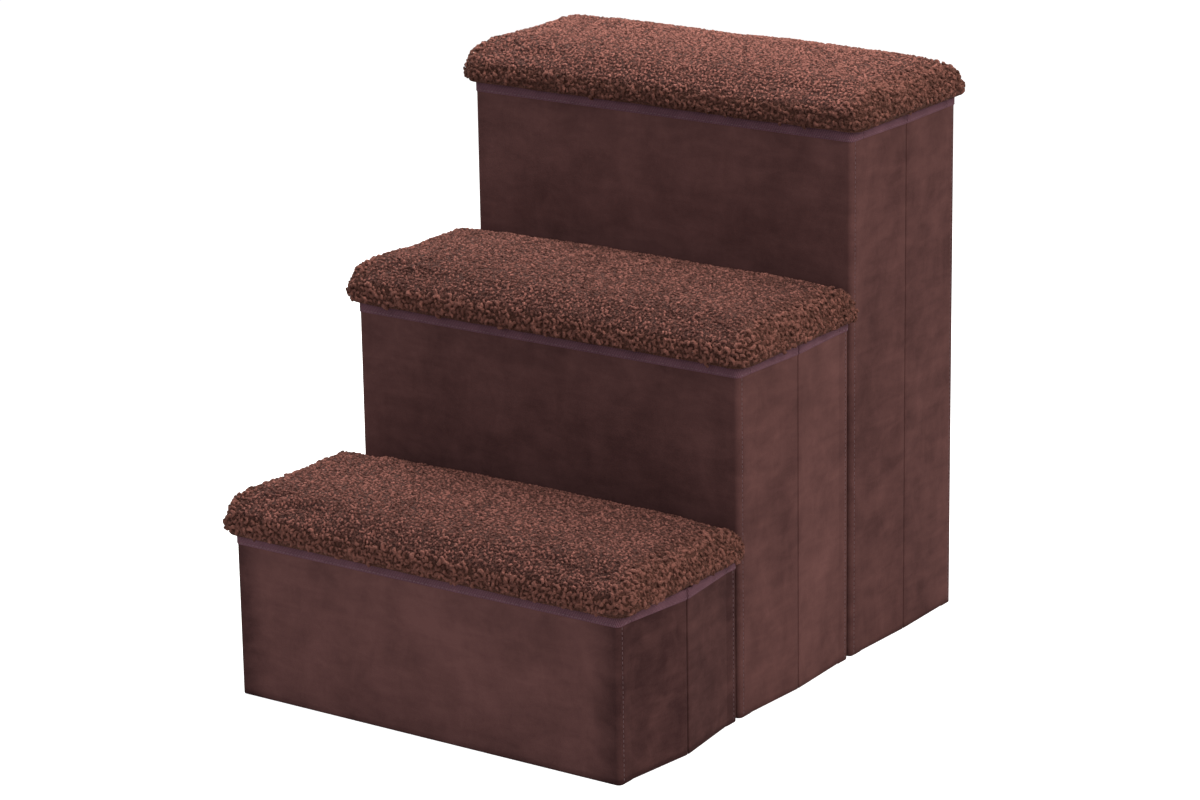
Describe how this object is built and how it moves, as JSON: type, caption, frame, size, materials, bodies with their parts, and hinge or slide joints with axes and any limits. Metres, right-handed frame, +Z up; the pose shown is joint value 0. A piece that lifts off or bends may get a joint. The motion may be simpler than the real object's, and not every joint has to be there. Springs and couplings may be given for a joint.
{
  "type": "folding pet stairs with storage boxes",
  "caption": "Pet stairs made of cloth-covered folding storage boxes of rising height, each with a lift-off padded plush lid as its tread.",
  "frame": {"origin": "on the floor, under the middle of the stairs' bounding box", "axes": "+X to the right of someone facing the stairs, +Y up the flight towards the tall box, +Z up"},
  "size_m": [0.424, 0.5498, 0.5123],
  "materials": {
    "suede": "dark brown faux suede with a short mottled nap",
    "plush": "reddish brown curly sherpa plush",
    "black_cloth": "black non-woven lining cloth",
    "board": "grey-brown stiff board",
    "foam": "pale open-cell foam",
    "hook_and_loop": "black hook-and-loop strip"
  },
  "bodies": {
    "lower_front_wall": {"lower_front_wall_board": "board", "lower_front_wall_cover": "suede"},
    "lower_middle_divider": {"lower_back_wall_board": "board", "lower_back_wall_cover": "suede", "middle_front_wall_board": "board", "middle_front_wall_cover": "suede", "lower_to_middle_joining_strips": "hook_and_loop", "lower_base_cloth": "black_cloth"},
    "middle_upper_divider": {"middle_back_wall_board": "board", "middle_back_wall_cover": "suede", "upper_front_wall_board": "board", "upper_front_wall_cover": "suede", "middle_to_upper_joining_strips": "hook_and_loop", "middle_base_cloth": "black_cloth", "upper_base_cloth": "black_cloth"},
    "upper_back_wall": {"upper_back_wall_board": "board", "upper_back_wall_cover": "suede"},
    "lower_right_back_side": {"lower_right_back_side_board": "board", "lower_right_back_side_cover": "suede"},
    "lower_right_front_side": {"lower_right_front_side_board": "board", "lower_right_front_side_cover": "suede"},
    "lower_left_back_side": {"lower_left_back_side_board": "board", "lower_left_back_side_cover": "suede"},
    "lower_left_front_side": {"lower_left_front_side_board": "board", "lower_left_front_side_cover": "suede"},
    "lower_back_floor": {"lower_back_floor_board": "black_cloth"},
    "lower_front_floor": {"lower_front_floor_board": "black_cloth"},
    "lower_lid": {"lower_lid_plush_cover": "plush", "lower_lid_foam_pad": "foam", "lower_lid_stiff_board": "board", "lower_lid_lining": "black_cloth"},
    "middle_right_back_side": {"middle_right_back_side_board": "board", "middle_right_back_side_cover": "suede"},
    "middle_right_front_side": {"middle_right_front_side_board": "board", "middle_right_front_side_cover": "suede"},
    "middle_left_back_side": {"middle_left_back_side_board": "board", "middle_left_back_side_cover": "suede"},
    "middle_left_front_side": {"middle_left_front_side_board": "board", "middle_left_front_side_cover": "suede"},
    "middle_back_floor": {"middle_back_floor_board": "black_cloth"},
    "middle_front_floor": {"middle_front_floor_board": "black_cloth"},
    "middle_lid": {"middle_lid_plush_cover": "plush", "middle_lid_foam_pad": "foam", "middle_lid_stiff_board": "board", "middle_lid_lining": "black_cloth"},
    "upper_right_back_side": {"upper_right_back_side_board": "board", "upper_right_back_side_cover": "suede"},
    "upper_right_front_side": {"upper_right_front_side_board": "board", "upper_right_front_side_cover": "suede"},
    "upper_left_back_side": {"upper_left_back_side_board": "board", "upper_left_back_side_cover": "suede"},
    "upper_left_front_side": {"upper_left_front_side_board": "board", "upper_left_front_side_cover": "suede"},
    "upper_back_floor": {"upper_back_floor_board": "black_cloth"},
    "upper_front_floor": {"upper_front_floor_board": "black_cloth"},
    "upper_lid": {"upper_lid_plush_cover": "plush", "upper_lid_foam_pad": "foam", "upper_lid_stiff_board": "board", "upper_lid_lining": "black_cloth"}
  },
  "joints": [
    {"name": "lower_fold", "type": "hinge", "parent": "lower_right_back_side", "child": "lower_right_front_side", "pos_m": [0.20951, -0.17685, 0], "axis": [0, 0, 1], "range_deg": [0, 193.58], "deforming": ["lower_base_cloth"]},
    {"name": "lower_right_near_corner", "type": "hinge", "parent": "lower_middle_divider", "child": "lower_right_back_side", "pos_m": [0.199, -0.10545, 0], "axis": [0, 0, 1], "range_deg": [-96.79, 0]},
    {"name": "lower_right_far_corner", "type": "hinge", "parent": "lower_right_front_side", "child": "lower_front_wall", "pos_m": [0.199, -0.24825, 0], "axis": [0, 0, 1], "range_deg": [-96.79, 0]},
    {"name": "lower_left_near_corner", "type": "hinge", "parent": "lower_middle_divider", "child": "lower_left_back_side", "pos_m": [-0.199, -0.10545, 0], "axis": [0, 0, 1], "range_deg": [0, 96.79]},
    {"name": "lower_left_crease", "type": "hinge", "parent": "lower_left_back_side", "child": "lower_left_front_side", "pos_m": [-0.20951, -0.17685, 0], "axis": [0, 0, 1], "range_deg": [-193.58, 0]},
    {"name": "lower_near_floor", "type": "hinge", "parent": "lower_middle_divider", "child": "lower_back_floor", "pos_m": [0, -0.09715, 0.0055], "axis": [1, 0, 0], "range_deg": [-90, 0]},
    {"name": "lower_far_floor", "type": "hinge", "parent": "lower_front_wall", "child": "lower_front_floor", "pos_m": [0, -0.25655, 0.0055], "axis": [1, 0, 0], "range_deg": [0, 90]},
    {"name": "lower_lid_lift", "type": "slide", "parent": "lower_middle_divider", "child": "lower_lid", "axis": [0, -0.2079, 0.9781], "range_m": [0, 0.2]},
    {"name": "middle_fold", "type": "hinge", "parent": "middle_right_back_side", "child": "middle_right_front_side", "pos_m": [0.2045, 0.00315, 0], "axis": [0, 0, 1], "range_deg": [0, 185.61], "deforming": ["middle_base_cloth"]},
    {"name": "middle_right_near_corner", "type": "hinge", "parent": "middle_upper_divider", "child": "middle_right_back_side", "pos_m": [0.199, 0.07455, 0], "axis": [0, 0, 1], "range_deg": [-92.81, 0]},
    {"name": "middle_right_far_corner", "type": "hinge", "parent": "middle_right_front_side", "child": "lower_middle_divider", "pos_m": [0.199, -0.06825, 0], "axis": [0, 0, 1], "range_deg": [-92.81, 0]},
    {"name": "middle_left_near_corner", "type": "hinge", "parent": "middle_upper_divider", "child": "middle_left_back_side", "pos_m": [-0.199, 0.07455, 0], "axis": [0, 0, 1], "range_deg": [0, 92.81]},
    {"name": "middle_left_crease", "type": "hinge", "parent": "middle_left_back_side", "child": "middle_left_front_side", "pos_m": [-0.2045, 0.00315, 0], "axis": [0, 0, 1], "range_deg": [-185.61, 0]},
    {"name": "middle_near_floor", "type": "hinge", "parent": "middle_upper_divider", "child": "middle_back_floor", "pos_m": [0, 0.08285, 0.0055], "axis": [1, 0, 0], "range_deg": [-90, 0]},
    {"name": "middle_far_floor", "type": "hinge", "parent": "lower_middle_divider", "child": "middle_front_floor", "pos_m": [0, -0.07655, 0.0055], "axis": [1, 0, 0], "range_deg": [0, 90]},
    {"name": "middle_lid_lift", "type": "slide", "parent": "middle_upper_divider", "child": "middle_lid", "axis": [0, -0.2079, 0.9781], "range_m": [0, 0.2]},
    {"name": "upper_fold", "type": "hinge", "parent": "upper_right_front_side", "child": "upper_right_back_side", "pos_m": [0.203, 0.18315, 0], "axis": [0, 0, -1], "range_deg": [0, 183.21], "deforming": ["upper_base_cloth"]},
    {"name": "upper_right_near_corner", "type": "hinge", "parent": "middle_upper_divider", "child": "upper_right_front_side", "pos_m": [0.199, 0.11175, 0], "axis": [0, 0, -1], "range_deg": [-91.6, 0]},
    {"name": "upper_right_far_corner", "type": "hinge", "parent": "upper_right_back_side", "child": "upper_back_wall", "pos_m": [0.199, 0.25455, 0], "axis": [0, 0, -1], "range_deg": [-91.6, 0]},
    {"name": "upper_left_near_corner", "type": "hinge", "parent": "middle_upper_divider", "child": "upper_left_front_side", "pos_m": [-0.199, 0.11175, 0], "axis": [0, 0, -1], "range_deg": [0, 91.6]},
    {"name": "upper_left_crease", "type": "hinge", "parent": "upper_left_front_side", "child": "upper_left_back_side", "pos_m": [-0.203, 0.18315, 0], "axis": [0, 0, -1], "range_deg": [-183.21, 0]},
    {"name": "upper_near_floor", "type": "hinge", "parent": "middle_upper_divider", "child": "upper_front_floor", "pos_m": [0, 0.10345, 0.0055], "axis": [-1, 0, 0], "range_deg": [-90, 0]},
    {"name": "upper_far_floor", "type": "hinge", "parent": "upper_back_wall", "child": "upper_back_floor", "pos_m": [0, 0.26285, 0.0055], "axis": [-1, 0, 0], "range_deg": [0, 90]},
    {"name": "upper_lid_lift", "type": "slide", "parent": "middle_upper_divider", "child": "upper_lid", "axis": [0, -0.2079, 0.9781], "range_m": [0, 0.2]}
  ],
  "couplings": [
    {"joint": "lower_right_near_corner", "follows": "lower_fold", "ratio": -0.5},
    {"joint": "lower_right_far_corner", "follows": "lower_fold", "ratio": -0.5},
    {"joint": "lower_left_near_corner", "follows": "lower_fold", "ratio": 0.5},
    {"joint": "lower_left_crease", "follows": "lower_fold", "ratio": -1},
    {"joint": "lower_near_floor", "follows": "lower_fold", "ratio": -0.46493},
    {"joint": "lower_far_floor", "follows": "lower_fold", "ratio": 0.46493},
    {"joint": "middle_right_near_corner", "follows": "middle_fold", "ratio": -0.5},
    {"joint": "middle_right_far_corner", "follows": "middle_fold", "ratio": -0.5},
    {"joint": "middle_left_near_corner", "follows": "middle_fold", "ratio": 0.5},
    {"joint": "middle_left_crease", "follows": "middle_fold", "ratio": -1},
    {"joint": "middle_near_floor", "follows": "middle_fold", "ratio": -0.48488},
    {"joint": "middle_far_floor", "follows": "middle_fold", "ratio": 0.48488},
    {"joint": "upper_right_near_corner", "follows": "upper_fold", "ratio": -0.5},
    {"joint": "upper_right_far_corner", "follows": "upper_fold", "ratio": -0.5},
    {"joint": "upper_left_near_corner", "follows": "upper_fold", "ratio": 0.5},
    {"joint": "upper_left_crease", "follows": "upper_fold", "ratio": -1},
    {"joint": "upper_near_floor", "follows": "upper_fold", "ratio": -0.49124},
    {"joint": "upper_far_floor", "follows": "upper_fold", "ratio": 0.49124}
  ]
}
